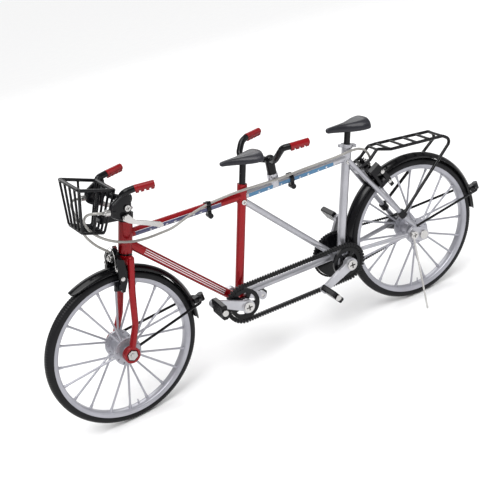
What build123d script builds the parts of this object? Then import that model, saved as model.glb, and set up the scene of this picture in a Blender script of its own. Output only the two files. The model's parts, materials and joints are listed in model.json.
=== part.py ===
from build123d import *
import math
import os

# Tandem bicycle display model, about 1:10. All sizes in millimetres.
# The bicycle is laid out upright: +X forward, +Y to the rider's left, +Z up, ground at Z 0,
# midway between the wheel contacts. At the end it is leaned onto its kickstand.

# ---------------------------------------------------------------- driving sizes
WHEEL_R = 35.0            # outside of the tyre
HALF_BASE = 75.5          # half of the wheelbase
LEAN_DEG = 4.0            # lean to the left, onto the kickstand
HEAD_ANGLE = 74.5         # steering axis above the horizontal
RAKE = 0.7                # front axle ahead of the steering axis
STEER_REST = 6.5          # steering turned left at rest
BARS_REST = 11.0          # rear handlebar turned at rest
BB_F = (19.0, 35.0)       # front bottom bracket, X and Z
BB_R = (-35.0, 34.6)      # rear bottom bracket
CRANK_LEN = 16.8
ANG_FL, ANG_FR = 26.7, 206.7      # front cranks, left and right, above the forward horizontal
ANG_RL, ANG_RR = -24.7, 115.0     # rear cranks
RING_R = 7.2              # timing rings
DRIVE_R = 10.3            # drive ring on the right
SPROCKET_R = 5.5
RUN = 0.05                # radial running clearance
SPOKE_R = 0.5
CABLE_R = 0.55
SHIFT = (0.0, 0.0, 0.0)   # set below from the leaned model's box

os.makedirs("parts", exist_ok=True)
parts = {}

ha = math.radians(HEAD_ANGLE)
AX = Vector(-math.cos(ha), 0, math.sin(ha))          # up the steering axis
PF = Vector(math.sin(ha), 0, math.cos(ha))           # forward, square to it
YY = Vector(0, 1, 0)
FAXLE = Vector(HALF_BASE, 0, WHEEL_R)
RAXLE = Vector(-HALF_BASE, 0, WHEEL_R)
A0 = FAXLE - PF * RAKE


def V(p):
    return p if isinstance(p, Vector) else Vector(*p)


def rod(p, q, r):
    p, q = V(p), V(q)
    return Solid.make_cylinder(r, (q - p).length, Plane(origin=p, z_dir=(q - p)))


def cone(p, q, r1, r2):
    p, q = V(p), V(q)
    return Solid.make_cone(r1, r2, (q - p).length, Plane(origin=p, z_dir=(q - p)))


def ball(p, r):
    return Solid.make_sphere(r).moved(Location(V(p)))


def fuse(*s):
    a = Part() + s[0]
    for x in s[1:]:
        a = a + x
    return a


def ycyl(x, z, y0, y1, r):
    return rod((x, y0, z), (x, y1, z), r)


def bar(p, q, w, h, up):
    """rectangular bar from p to q, w across, h along up"""
    p, q, up = V(p), V(q), V(up)
    d = q - p
    side = d.cross(up).normalized()
    pl = Plane(origin=p, x_dir=side, z_dir=d)
    return extrude(pl * Rectangle(w, h), d.length)


def route(pts):
    """radii for a path of straight runs joined by arcs"""
    pts = [V(p) for p in pts]
    rr = []
    for a, b, c in zip(pts, pts[1:], pts[2:]):
        u, w = (b - a), (c - b)
        t = math.radians(u.get_angle(w))
        rr.append(0.45 * min(u.length, w.length) / math.tan(t / 2))
    return rr


def tube(pts, r, radii=None):
    radii = radii or route(pts)
    path = FilletPolyline(*[tuple(V(p)) for p in pts], radius=radii)
    return sweep(Plane(origin=path @ 0, z_dir=path % 0) * Circle(r), path=path), path


def cable(name, pts, r):
    s, path = tube(pts, r)
    want = math.pi * r * r * path.length
    print(name, "length %.2f" % path.length, "volume ratio %.4f" % (s.volume / want),
          "radii", [round(x, 1) for x in route(pts)])
    return s


def plate(outline, y0, y1):
    """outline of (x, z) points, between y0 and y1"""
    f = make_face(Polyline(*[(x, y0, z) for x, z in outline], close=True))
    return extrude(f, abs(y1 - y0), dir=(0, 1 if y1 > y0 else -1, 0))


def ring_y(x, z, profile, a0=0.0, a1=360.0):
    """profile of (radius, y) points turned about the y line through (x, z); angles above +X"""
    if a1 - a0 >= 360:
        f = make_face(Polyline(*[(x + r, y, z) for r, y in profile], close=True))
        return revolve(f, Axis((x, 0, z), (0, 1, 0)), 360)
    c, s = math.cos(math.radians(a0)), math.sin(math.radians(a0))
    f = make_face(Polyline(*[(x + r * c, y, z + r * s) for r, y in profile], close=True))
    return revolve(f, Axis((x, 0, z), (0, -1, 0)), a1 - a0)


def cross_screw(p, axis, r, h, recess=0.35):
    """pan head with a cross recess; p is under the head, axis points out"""
    p, axis = V(p), V(axis).normalized()
    head = rod(p, p + axis * h, r)
    ref = Vector(1, 0, 0) if abs(axis.X) < 0.8 else Vector(0, 0, 1)
    s1 = axis.cross(ref).normalized()
    s2 = axis.cross(s1)
    top = p + axis * (h - recess)
    for s in (s1, s2):
        head = head - bar(top - s * r * 0.6, top + s * r * 0.6, r * 0.28, recess * 2 + 0.4, axis)
    return head


# ---------------------------------------------------------------- front frame casting
def ax_at(z):
    return A0 + AX * ((z - A0.Z) / AX.Z)


SEAT_F_TOP = Vector(5.9, 0, 86.7)
bbf = Vector(BB_F[0], 0, BB_F[1])
bbr = Vector(BB_R[0], 0, BB_R[1])
seat_f = (SEAT_F_TOP - bbf).normalized()
SEAT_R_TOP = Vector(-47.6, 0, 86.2)
seat_r = (SEAT_R_TOP - bbr).normalized()


def on_f(z):
    return bbf + seat_f * ((z - bbf.Z) / seat_f.Z)


def on_r(z):
    return bbr + seat_r * ((z - bbr.Z) / seat_r.Z)


HEAD_BOT, HEAD_TOP = ax_at(76.0), ax_at(89.2)
front = fuse(
    rod(HEAD_BOT, HEAD_TOP, 3.0),
    rod(ax_at(83.4), on_f(81.7), 1.9),
    rod(ax_at(80.4), bbf + Vector(0.6, 0, 0.6), 2.0),
    rod(bbf, on_f(82.0), 1.95),
    rod(on_f(78.6), SEAT_F_TOP, 2.25),
    ycyl(BB_F[0], BB_F[1], -4.4, 4.4, 3.2),
)
front = front - rod(HEAD_BOT - AX * 2, HEAD_TOP + AX * 2, 1.7 + RUN)
front = front - rod(on_f(62.0), SEAT_F_TOP + seat_f * 2, 1.45 + RUN)
front = front - ycyl(BB_F[0], BB_F[1], -6, 6, 1.6 + RUN)

# ---------------------------------------------------------------- rear frame casting
STEM = Vector(-8.9, 0, 0)
parts_r = [
    rod((6.5, 0, 81.65), on_r(81.6), 1.9),
    rod((6.9, 0, 79.0), (BB_R[0] + 0.5, 0, BB_R[1] + 0.3), 1.5),
    rod((BB_F[0], 0, 37.2), (BB_R[0] + 1, 0, 36.8), 1.55),
    rod(bbr, on_r(82.0), 2.0),
    rod(on_r(79.0), SEAT_R_TOP, 2.3),
    ycyl(BB_R[0], BB_R[1], -4.4, 4.4, 3.2),
    rod((STEM.X, 0, 80.6), (STEM.X, 0, 86.6), 2.45),
    ycyl(-38.3, 38.7, -1.5, 3.9, 1.5),
]
for s in (1, -1):
    parts_r += [
        rod(on_r(80.6) + Vector(0, s * 1.9, 0), (-74.3, s * 9.35, 36.4), 1.15),
        rod((BB_R[0] - 1.0, s * 3.3, 36.9), (-45.5, s * 3.75, 36.9), 0.95),
        ball((-45.5, s * 3.75, 36.9), 0.95),
        cone((-45.5, s * 3.75, 36.9), (-72.5, s * 9.3, 36.7), 0.95, 1.15),
        plate([(-67.2, 35.2), (-67.8, 38.7), (-70.4, 40.4), (-75.0, 39.0), (-78.2, 36.8),
               (-78.7, 34.0), (-77.0, 32.0), (-73.8, 32.0), (-71.0, 33.6)], s * 8.7, s * 10.3),
    ]
rear = fuse(*parts_r)
STAY0, STAY1 = on_r(80.6), Vector(-74.3, 9.35, 36.4)


def on_stay(k, s=1):
    return Vector(STAY0.X + k * (STAY1.X - STAY0.X), s * (1.9 + k * (STAY1.Y - 1.9)),
                  STAY0.Z + k * (STAY1.Z - STAY0.Z))


# brake bridge between the seat stays, square to the wheel's radius
BN = Vector(math.cos(math.radians(60)), 0, math.sin(math.radians(60)))
BT = Vector(-math.sin(math.radians(60)), 0, math.cos(math.radians(60)))
BR0 = RAXLE + BN * 44.6 - BT * 1.55
rear = rear + rod(BR0 + Vector(0, -3.0, 0), BR0 + Vector(0, 3.0, 0), 1.3)
rear = rear - rod(on_r(62.0), SEAT_R_TOP + seat_r * 2, 1.45 + RUN)
rear = rear - ycyl(BB_R[0], BB_R[1], -6, 6, 1.6 + RUN)
rear = rear - ycyl(-HALF_BASE, WHEEL_R, -12, 12, 1.0)
rear = rear - rod((STEM.X, 0, 79.9), (STEM.X, 0, 88), 1.35 + RUN)
# the red lug and the front bottom bracket take the silver casting's ends
rear = rear - fuse(rod(on_f(30), SEAT_F_TOP + seat_f, 2.25), ycyl(BB_F[0], BB_F[1], -8, 8, 3.2),
                   rod(ax_at(80.4), bbf + Vector(0.6, 0, 0.6), 2.0))
rs = sorted(rear.solids(), key=lambda s: -s.volume)
print("rear frame solids", [round(s.volume, 2) for s in rs])
rear = rs[0]
parts["front_frame"] = front

# kickstand pivot hole in the left dropout
STP = Vector(-69.5, 0, 37.3)
rear = rear - ycyl(STP.X, STP.Z, 6, 12, 0.75)
bolt_r = rod(BR0, RAXLE + BN * 44.6 + BT * 4.6, 0.8)
rear = rear - bolt_r
parts["rear_frame"] = rear

# collar round the top of the rear seat tube, with pinch ears
c0 = SEAT_R_TOP - seat_r * 0.2
collar = fuse(rod(c0, c0 + seat_r * 1.5, 2.75),
              bar(c0 + seat_r * 0.75 + Vector(-2.2, 0, -0.6), c0 + seat_r * 0.75 + Vector(-4.2, 0, -1.1), 2.6, 1.2, seat_r),
              bar(c0 + seat_r * 0.75 + Vector(2.2, 0, 0.6), c0 + seat_r * 0.75 + Vector(4.0, 0, 1.1), 1.8, 1.2, seat_r))
collar = collar - rod(c0 - seat_r, c0 + seat_r * 3, 1.45 + RUN) - rear
parts["rear_seat_collar"] = sorted(collar.solids(), key=lambda s: -s.volume)[0]


# ---------------------------------------------------------------- wheels
def wheel(prefix, x):
    z = WHEEL_R
    rim = ring_y(x, z, [(32.15, 2.3), (30.4, 2.3), (29.6, 1.6), (29.6, -1.6), (30.4, -2.3),
                        (32.15, -2.3), (32.15, -1.7), (31.0, -1.7), (31.0, 1.7), (32.15, 1.7)])
    tyre = ring_y(x, z, [(31.02, 1.68), (32.17, 1.68), (32.2, 2.3), (33.3, 2.4), (34.4, 1.95),
                         (35.0, 0.95), (35.0, -0.95), (34.4, -1.95), (33.3, -2.4), (32.2, -2.3),
                         (32.17, -1.68), (31.02, -1.68)])
    hub = ring_y(x, z, [(1.05, 6.4), (2.5, 6.4), (2.5, 5.1), (6.2, 5.1), (6.2, 4.1), (3.9, 3.7),
                        (3.7, 0), (3.9, -3.7), (6.2, -4.1), (6.2, -5.1), (2.5, -5.1),
                        (2.5, -6.4), (1.05, -6.4)])
    for k in range(10):
        a = math.radians(36 * k + 18)
        hub = hub - ycyl(x + 5.2 * math.cos(a), z + 5.2 * math.sin(a), -7, 7, 0.35)
    sp = []
    for k in range(10):
        s = 1 if k % 2 == 0 else -1
        for d in (-9, 9):
            a0 = math.radians(36 * k + d * 0.45)
            a1 = math.radians(36 * k + d)
            p = (x + 5.3 * math.cos(a0), s * 4.55, z + 5.3 * math.sin(a0))
            q = (x + 29.9 * math.cos(a1), s * 0.7, z + 29.9 * math.sin(a1))
            sp.append(rod(p, q, SPOKE_R))
    parts[prefix + "_rim"] = rim
    parts[prefix + "_tyre"] = tyre
    parts[prefix + "_hub"] = hub
    parts[prefix + "_spokes"] = Compound(sp)


wheel("front", HALF_BASE)
wheel("rear", -HALF_BASE)


def hexnut(p, axis, af, h, bore):
    pl = Plane(origin=V(p), z_dir=V(axis))
    return extrude(pl * RegularPolygon(af / 2, 6, major_radius=False), h) - rod(V(p) - V(axis) * 0.5, V(p) + V(axis) * (h + 1), bore)


parts["front_axle"] = Compound([ycyl(HALF_BASE, WHEEL_R, -10.3, 10.3, 1.0),
    hexnut((HALF_BASE, 8.75, WHEEL_R), (0, 1, 0), 4.0, 1.1, 1.0).solid(),
    hexnut((HALF_BASE, -8.75, WHEEL_R), (0, -1, 0), 4.0, 1.1, 1.0).solid()])
parts["rear_axle"] = fuse(ycyl(-HALF_BASE, WHEEL_R, -10.3, 10.3, 1.0),
                          ycyl(-HALF_BASE, WHEEL_R, 10.3, 11.1, 2.1), ycyl(-HALF_BASE, WHEEL_R, -11.1, -10.3, 2.1))


# ---------------------------------------------------------------- fork, on the steering axis
def st(p, y, s):
    """point p ahead of the axis, y left, s up the axis from the axle's foot"""
    return A0 + PF * p + AX * s + Vector(0, y, 0)


fork = [rod(st(0, 0, 41.2), st(0, 0, 57.6), 1.7),
        rod(st(0, 0, 39.3), st(0, 0, 41.9), 3.0),
        bar(st(0, -5.1, 40.2), st(0, 5.1, 40.2), 3.4, 2.6, AX)]
for s in (1, -1):
    fork += [rod(st(-0.1, s * 5.0, 41.2), st(-0.6, s * 5.6, 27.0), 1.5), ball(st(-0.1, s * 5.0, 41.2), 1.5),
             cone(st(-0.6, s * 5.6, 27.0), st(-1.3, s * 7.6, 13.0), 1.5, 1.4), ball(st(-0.6, s * 5.6, 27.0), 1.5),
             ball(st(-1.3, s * 7.6, 13.0), 1.4),
             cone(st(-1.3, s * 7.6, 13.0), st(0.3, s * 8.3, 2.5), 1.4, 1.5),
             ycyl(HALF_BASE, WHEEL_R, s * 7.0, s * 9.6, 3.6)]
fork = fuse(*fork)
for s in (1, -1):
    fork = fork - extrude(Plane(origin=(HALF_BASE, s * 8.75, WHEEL_R), z_dir=(0, s, 0)) * RegularPolygon(2.5, 6, major_radius=False), 2)
fork = fork - ycyl(HALF_BASE, WHEEL_R, -12, 12, 1.0)
BF = st(0, 0, 41.0)
bolt_f = rod(BF + PF * 0.4, BF + PF * 6.9, 0.8)
fork = fork - bolt_f
parts["fork"] = sorted(fork.solids(), key=lambda s: -s.volume)[0]

# headset rings
parts["headset_rings"] = Compound([
    (rod(ax_at(76.0) - AX * 0.75, ax_at(76.0) - AX * 0.05, 2.9) - rod(ax_at(70), ax_at(80), 1.75)).solid(),
    (rod(HEAD_TOP + AX * 0.05, HEAD_TOP + AX * 0.85, 2.9) - rod(ax_at(80), ax_at(99), 1.75)).solid()])


def bars(o, front=True):
    """one swept-back bar, in its own straight-ahead place, about the stem head at o"""
    out = []
    if front:
        left = [(58.4, 0, 98.6), (60.6, 4.6, 98.8), (63.4, 9.9, 102.6), (62.6, 12.6, 105.9), (57.9, 13.2, 106.2)]
        right = [(x, -y, z) for x, y, z in left]
    else:
        # this bar is bent differently on its two sides
        left = [(-9.2, 0, 92.6), (-7.4, 5.4, 93.5), (-7.0, 13.6, 101.0), (-9.7, 15.2, 101.0)]
        right = [(-9.2, 0, 92.6), (-6.5, -5.0, 93.3), (-3.5, -10.5, 93.2), (-3.2, -14.0, 95.2), (-6.5, -14.8, 100.0), (-9.7, -15.2, 101.0)]
    for q in (left, right):
        t, _ = tube(q, 1.42)
        out += [t]
    return out


def grip(p, q, s):
    """ridged grip from p to q, ridges below"""
    p, q = V((p[0], s * p[1], p[2])), V((q[0], s * q[1], q[2]))
    d = (q - p).normalized()
    g = fuse(rod(p, q, 1.45))
    for i in range(4):
        c = p + d * (0.95 + i * ((q - p).length - 1.9) / 3) + Vector(0, 0, -1.0)
        g = g + rod(c - d * 0.62, c + d * 0.62, 1.15)
    return sorted(g.solids(), key=lambda s: -s.volume)[0]


# front handlebar: stem over the steerer, two swept bars
stem_f = fuse(rod(HEAD_TOP + AX * 0.9, ax_at(97.2), 2.35), ball(ax_at(98.2), 2.75), *bars(None, True))
stem_f = stem_f - rod(ax_at(80), st(0, 0, 57.6), 1.7)
GF, GR = ((57.9, 13.2, 106.2), (50.0, 15.3, 106.0)), ((-9.7, 15.2, 101.0), (-18.35, 17.1, 100.6))


def core(g, s):
    p, q = V((g[0][0], s * g[0][1], g[0][2])), V((g[1][0], s * g[1][1], g[1][2]))
    return rod(p - (q - p) * 0.1, p + (q - p) * 0.8, 0.8)


def gripped(g, handlebar):
    return Compound([sorted((grip(*g, s) - handlebar).solids(), key=lambda k: -k.volume)[0] for s in (1, -1)])


stem_f = stem_f + core(GF, 1) + core(GF, -1)
parts["front_handlebar"] = sorted(stem_f.solids(), key=lambda s: -s.volume)[0]
parts["front_grips"] = gripped(GF, parts["front_handlebar"])

# rear handlebar in the silver boss
stem_r = fuse(rod((STEM.X, 0, 80.4), (STEM.X, 0, 87), 1.35), rod((STEM.X, 0, 86.7), (STEM.X, 0, 92.0), 2.1),
              ball((STEM.X - 0.3, 0, 92.6), 2.4), *bars(None, False))
stem_r = stem_r + core(GR, 1) + core(GR, -1)
parts["rear_handlebar"] = sorted(stem_r.solids(), key=lambda s: -s.volume)[0]
parts["rear_grips"] = gripped(GR, parts["rear_handlebar"])

# brake lever housings under the front bars, levers outboard of them
HOUS = [(59.9, 105.6), (60.7, 98.8), (62.4, 96.4), (64.3, 95.0), (66.8, 95.4), (70.0, 98.2), (69.4, 102.4), (66.6, 104.3), (63.4, 105.6)]
LEV = [(63.4, 97.5), (65.9, 97.4), (66.1, 95.7), (64.2, 94.0), (61.0, 92.0), (57.6, 90.4), (51.6, 87.1), (50.4, 86.7), (49.8, 87.6),
       (50.6, 88.9), (56.8, 92.0), (60.6, 93.8), (62.2, 95.6)]
LP = (64.7, 96.5)         # lever pivot, X and Z
hs, levs, pins, ferr = [], {}, [], []
for s, side in ((1, "left"), (-1, "right")):
    h = plate(HOUS, s * 10.9, s * 13.3)
    h = h - stem_f
    h = h - ycyl(LP[0], LP[1], s * 9, s * 15, 0.5) - ycyl(62.7, 99.6, s * 9, s * 15, 0.4)
    h = sorted(h.solids(), key=lambda k: -k.volume)[0]
    hs.append(h)
    lv = plate(LEV, s * 13.5, s * 14.6) - ycyl(LP[0], LP[1], s * 12, s * 16, 0.5 + RUN)
    levs[side] = lv.solid()
    pins.append(fuse(ycyl(LP[0], LP[1], s * 11.2, s * 14.75, 0.5), ycyl(LP[0], LP[1], s * 14.75, s * 15.15, 1.0)).solid())
    scr = fuse(cross_screw((62.7, s * 13.3, 99.6), (0, s, 0), 1.25, 0.6, 0.3), ycyl(62.7, 99.6, s * 11.5, s * 13.4, 0.4))
    pins.append(sorted(scr.solids(), key=lambda k: -k.volume)[0])
    f = fuse(rod((69.8, s * 12.1, 100.1), (71.6, s * 12.0, 100.5), 1.3), rod((71.6, s * 12.0, 100.5), (72.5, s * 11.95, 100.7), 0.8))
    f = f - h
    ferr.append(sorted(f.solids(), key=lambda k: -k.volume)[0])
parts["brake_lever_housings"] = Compound(hs)
parts["left_brake_lever"] = levs["left"]
parts["right_brake_lever"] = levs["right"]

# ---------------------------------------------------------------- basket
TF, TR = (78.6, 10.0, 112.2), (64.4, 8.7, 106.7)
DF, DR = (81.0, 6.8, 93.9), (72.0, 6.1, 90.2)


def mix(a, b, t):
    return tuple(a[i] + (b[i] - a[i]) * t for i in range(3))


def my(p):
    return (p[0], -p[1], p[2])


RN = Vector(-0.362, 0, 0.932)     # square to the tilted rim
bk = []
ring4 = [TF, TR, my(TR), my(TF)]
for a, b in zip(ring4, ring4[1:] + ring4[:1]):
    d = (V(b) - V(a)).normalized() * 0.75
    bk.append(bar(V(a) - d, V(b) + d, 1.7, 1.25, RN))
low4 = [DF, DR, my(DR), my(DF)]
for a, b in zip(low4, low4[1:] + low4[:1]):
    d = (V(b) - V(a)).normalized() * 0.4
    bk.append(bar(V(a) - d, V(b) + d, 1.0, 1.0, RN))
for i in range(5):
    t = i / 4
    bk.append(bar(mix(TF, my(TF), t), mix(DF, my(DF), t), 1.05, 1.05, (1, 0, 0)))
    bk.append(bar(mix(TR, my(TR), t), mix(DR, my(DR), t), 1.05, 1.05, (1, 0, 0)))
    if 0 < i < 4:
        bk.append(bar(mix(DF, my(DF), t), mix(DR, my(DR), t), 0.8, 0.9, RN))
for s in (1, -1):
    f = (lambda p: p) if s > 0 else my
    bk.append(bar(f(mix(TF, TR, 0.5)), f(mix(DF, DR, 0.5)), 1.05, 1.05, (1, 0, 0)))
basket = fuse(*bk)
parts["basket"] = sorted(basket.solids(), key=lambda s: -s.volume)[0]
# arm from the stem to the back of the basket
arm = fuse(bar(ax_at(91.4), Vector(71.3, 0, 93.9), 5.0, 2.2, RN), rod(ax_at(90.3), ax_at(92.6), 3.2))
arm = arm - rod(ax_at(88), ax_at(95), 2.35) - basket
parts["basket_arm"] = sorted(arm.solids(), key=lambda s: -s.volume)[0]


# ---------------------------------------------------------------- mudguards and their stays
GUARD = [(35.7, 3.3), (36.9, 2.6), (37.5, 1.1), (37.5, -1.1), (36.9, -2.6), (35.7, -3.3),
         (35.55, -2.9), (36.55, -2.2), (37.05, -0.95), (37.05, 0.95), (36.55, 2.2), (35.55, 2.9)]
g = ring_y(HALF_BASE, WHEEL_R, GUARD, 64.8, 184.0)
g = g + bar(st(0, 0, 37.2), st(0, 0, 39.3), 3.0, 2.4, YY) - parts["fork"]
parts["front_mudguard"] = sorted(g.solids(), key=lambda s: -s.volume)[0]
g = ring_y(-HALF_BASE, WHEEL_R, GUARD, 9.5, 183.5)
# tab up to the brake bridge
g = g + bar(RAXLE + BN * 37.2 - BT * 1.5, RAXLE + BN * 43.4 - BT * 1.5, 1.6, 1.2, YY) - parts["rear_frame"]
parts["rear_mudguard"] = sorted(g.solids(), key=lambda s: -s.volume)[0]


def stays(x, ang, ends):
    c, s = math.cos(math.radians(ang)), math.sin(math.radians(ang))
    n = Vector(c, 0, s)
    o = Vector(x, 0, WHEEL_R)
    t = Vector(-s, 0, c)
    lug = fuse(bar(o + n * 37.5, o + n * 41.6, 2.6, 2.6, YY), rod(o + n * 41.4 - t * 1.5, o + n * 41.4 + t * 2.0, 1.35))
    w = [lug]
    for k in (1, -1):
        e = ends[0 if k > 0 else 1]
        a = o + n * 40.6 + Vector(0, k * 0.6, 0)
        b = o + n * 38.6 + Vector(0, k * 4.4, 0)
        tb, _ = tube([a, b, e], 0.6, [1.5])
        w += [tb]
    return fuse(*w)


ef = st(-3.3, 8.3, 3.6)
sf = stays(HALF_BASE, 171.0, [ef, Vector(ef.X, -ef.Y, ef.Z)])
sf = sf - parts["fork"] - parts["front_mudguard"]
parts["front_mudguard_stays"] = sorted(sf.solids(), key=lambda s: -s.volume)[0]
er = Vector(-72.9, 9.6, 40.1)
sr = stays(-HALF_BASE, 168.0, [er, Vector(er.X, -er.Y, er.Z)])
sr = sr - parts["rear_frame"] - parts["rear_mudguard"]
parts["rear_mudguard_stays"] = sorted(sr.solids(), key=lambda s: -s.volume)[0]


# ---------------------------------------------------------------- cranksets
def annulus(x, z, r0, r1, y0, y1):
    return ycyl(x, z, y0, y1, r1) - ycyl(x, z, y0 - 1, y1 + 1, r0)


def toothed(x, z, r0, r1, y0, y1, hub, n=5, teeth=0):
    a = annulus(x, z, r0, r1, y0, y1)
    h = ycyl(x, z, y0, y1, hub)
    out = a + h
    for k in range(n):
        t = math.radians(72 * k + 54 if n == 5 else 360 / n * k + 30)
        p, q = Vector(x, (y0 + y1) / 2, z), Vector(x + (r0 + 0.5) * math.cos(t), (y0 + y1) / 2, z + (r0 + 0.5) * math.sin(t))
        out = out + bar(p, q, abs(y1 - y0), 1.7, Vector(-math.sin(t), 0, math.cos(t)))
    return out - ycyl(x, z, -30, 30, 1.6)


def crank(bb, ang, s):
    a = math.radians(ang)
    x, z = bb
    ex, ez = x + CRANK_LEN * math.cos(a), z + CRANK_LEN * math.sin(a)
    d = Vector(math.cos(a), 0, math.sin(a))
    n = Vector(-math.sin(a), 0, math.cos(a))
    o, e = Vector(x, 0, z), Vector(ex, 0, ez)
    pts = [o + n * 2.4, e + n * 1.5, e - n * 1.5, o - n * 2.4]
    c = fuse(ycyl(x, z, s * 7.2, s * 10.0, 3.0), ycyl(ex, ez, s * 7.9, s * 10.0, 1.95),
             plate([(p.X, p.Z) for p in pts], s * 8.1, s * 9.7))
    return c - ycyl(x, z, s * 5, s * 12, 1.6) - ycyl(ex, ez, s * 5, s * 12, 0.8), (ex, ez)


def crankset(prefix, bb, al, ar):
    x, z = bb
    cl, pl = crank(bb, al, 1)
    cr, pr = crank(bb, ar, -1)
    parts[prefix + "_cranks"] = Compound([cl.solid(), cr.solid()])
    scr = [ycyl(x, z, -9.6, 9.6, 1.6)]
    for s in (1, -1):
        scr.append(cross_screw((x, s * 10.0, z), (0, s, 0), 2.35, 0.9, 0.45).solid())
    parts[prefix + "_crank_axle"] = Compound(scr)
    pn = []
    for s, e in ((1, pl), (-1, pr)):
        pn.append(fuse(ycyl(e[0], e[1], s * 8.2, s * 20.6, 0.8), ycyl(e[0], e[1], s * 20.6, s * 21.2, 1.35)).solid())
    parts[prefix + "_pedal_pins"] = Compound(pn)
    return pl, pr


def pedal(e, s, tilt):
    """block with chamfered edges and a groove each side, on its pin"""
    a = math.radians(tilt)
    d, n = Vector(math.cos(a), 0, math.sin(a)), Vector(-math.sin(a), 0, math.cos(a))
    o = Vector(e[0], 0, e[1])
    w, h, ch = 3.3, 1.35, 0.5
    pts = [(w, h - ch), (w - ch, h), (-w + ch, h), (-w, h - ch), (-w, -h + ch), (-w + ch, -h), (w - ch, -h), (w, -h + ch)]
    b = plate([((o + d * u + n * v).X, (o + d * u + n * v).Z) for u, v in pts], s * 10.35, s * 20.4)
    for yy in (12.4, 15.4, 18.4):
        for k in (1, -1):
            c = o + n * (k * 1.4) + Vector(0, s * yy, 0)
            b = b - bar(c - d * 2.4, c + d * 2.4, 0.8, 0.4, n)
    return (b - ycyl(e[0], e[1], s * 9, s * 22, 0.8 + RUN)).solid()


pfl, pfr = crankset("front", BB_F, ANG_FL, ANG_FR)
prl, prr = crankset("rear", BB_R, ANG_RL, ANG_RR)
parts["front_left_pedal"] = pedal(pfl, 1, 93)
parts["front_right_pedal"] = pedal(pfr, -1, 10)
parts["rear_left_pedal"] = pedal(prl, 1, 55)
parts["rear_right_pedal"] = pedal(prr, -1, 60)
parts["front_timing_ring"] = toothed(*BB_F, 5.3, RING_R, 5.0, 6.4, 2.9, 5).solid()
parts["rear_timing_ring"] = toothed(*BB_R, 5.3, RING_R, 5.0, 6.4, 2.9, 5).solid()
disc = ycyl(*BB_R, -6.4, -5.3, DRIVE_R) - annulus(*BB_R, 3.7, 8.6, -7.0, -6.0) - ycyl(*BB_R, -9, 9, 1.6)
parts["drive_ring"] = disc.solid()
parts["rear_sprocket"] = (annulus(-HALF_BASE, WHEEL_R, 2.5 + RUN, SPROCKET_R, -6.35, -5.35)).solid()


def loop(c1, r1, c2, r2, t, y0, y1):
    """belt round two circles: inner radius r, thickness t"""
    def outline(e):
        x1, z1, x2, z2 = c1[0], c1[1], c2[0], c2[1]
        L = math.hypot(x2 - x1, z2 - z1)
        base = math.atan2(z2 - z1, x2 - x1)
        th = math.acos((r1 - r2) / L)
        R1, R2 = r1 + e, r2 + e
        def at(x, z, r, a):
            return (x + r * math.cos(a), y0, z + r * math.sin(a))
        a1, b1 = at(x1, z1, R1, base + th), at(x1, z1, R1, base - th)
        m1 = at(x1, z1, R1, base + math.pi)
        a2, b2 = at(x2, z2, R2, base + th), at(x2, z2, R2, base - th)
        m2 = at(x2, z2, R2, base)
        return make_face([ThreePointArc(a1, m1, b1), Line(b1, b2), ThreePointArc(b2, m2, a2), Line(a2, a1)])
    o = extrude(outline(t), abs(y1 - y0), dir=(0, 1 if y1 > y0 else -1, 0))
    i = extrude(outline(0), abs(y1 - y0), dir=(0, 1 if y1 > y0 else -1, 0))
    return (o - i).solid()


parts["timing_chain"] = loop(BB_F, RING_R + 0.15, BB_R, RING_R + 0.15, 1.95, 4.85, 6.6)
parts["drive_chain"] = loop(BB_R, DRIVE_R + 0.15, (-HALF_BASE, WHEEL_R), SPROCKET_R + 0.15, 1.0, -6.5, -5.3)

# ---------------------------------------------------------------- kickstand
foot = Vector(-67.0, 18.7, 1.69)
piv = Vector(STP.X, 0, STP.Z)
ks = fuse(ycyl(piv.X, piv.Z, 10.4, 11.6, 1.5), rod((piv.X, 10.85, piv.Z - 0.4), foot, 0.45), ball(foot, 0.45))
ks = ks - ycyl(piv.X, piv.Z, 9, 13, 0.7 + RUN)
parts["kickstand"] = ks.solid()

# ---------------------------------------------------------------- saddles
def saddle(nose, tail, zb, zt, hw):
    """teardrop outline, flat underside"""
    L = nose - tail
    half = [(0.0, 0.0), (0.02, 0.55), (0.06, 0.95), (0.25, 1.7), (0.45, 2.9), (0.62, 5.0), (0.75, 6.7), (0.86, hw), (0.94, hw * 0.93), (0.985, hw * 0.66), (1.0, 0.0)]
    pts = [(nose - L * t, y) for t, y in half] + [(nose - L * t, -y) for t, y in reversed(half[1:-1])]
    f = make_face(Polyline(*[(x, y, zb) for x, y in pts], close=True))
    return extrude(f, zt - zb, dir=(0, 0, 1))


parts["front_saddle"] = saddle(14.2, -6.2, 95.4, 99.3, 7.1).solid()
parts["rear_saddle"] = saddle(-38.4, -60.4, 92.9, 97.6, 7.2).solid()


def seatpost(low, top, d, zcut):
    p = rod(low, top, 1.45)
    box = Solid.make_box(20, 20, 20).moved(Location((top.X - 10, -10, zcut)))
    return (Part() + p - box).solid()


parts["front_seatpost"] = seatpost(on_f(66.0), on_f(98.0), seat_f, 95.4)
parts["rear_seatpost"] = seatpost(on_r(66.0), on_r(97.0), seat_r, 92.9)


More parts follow.
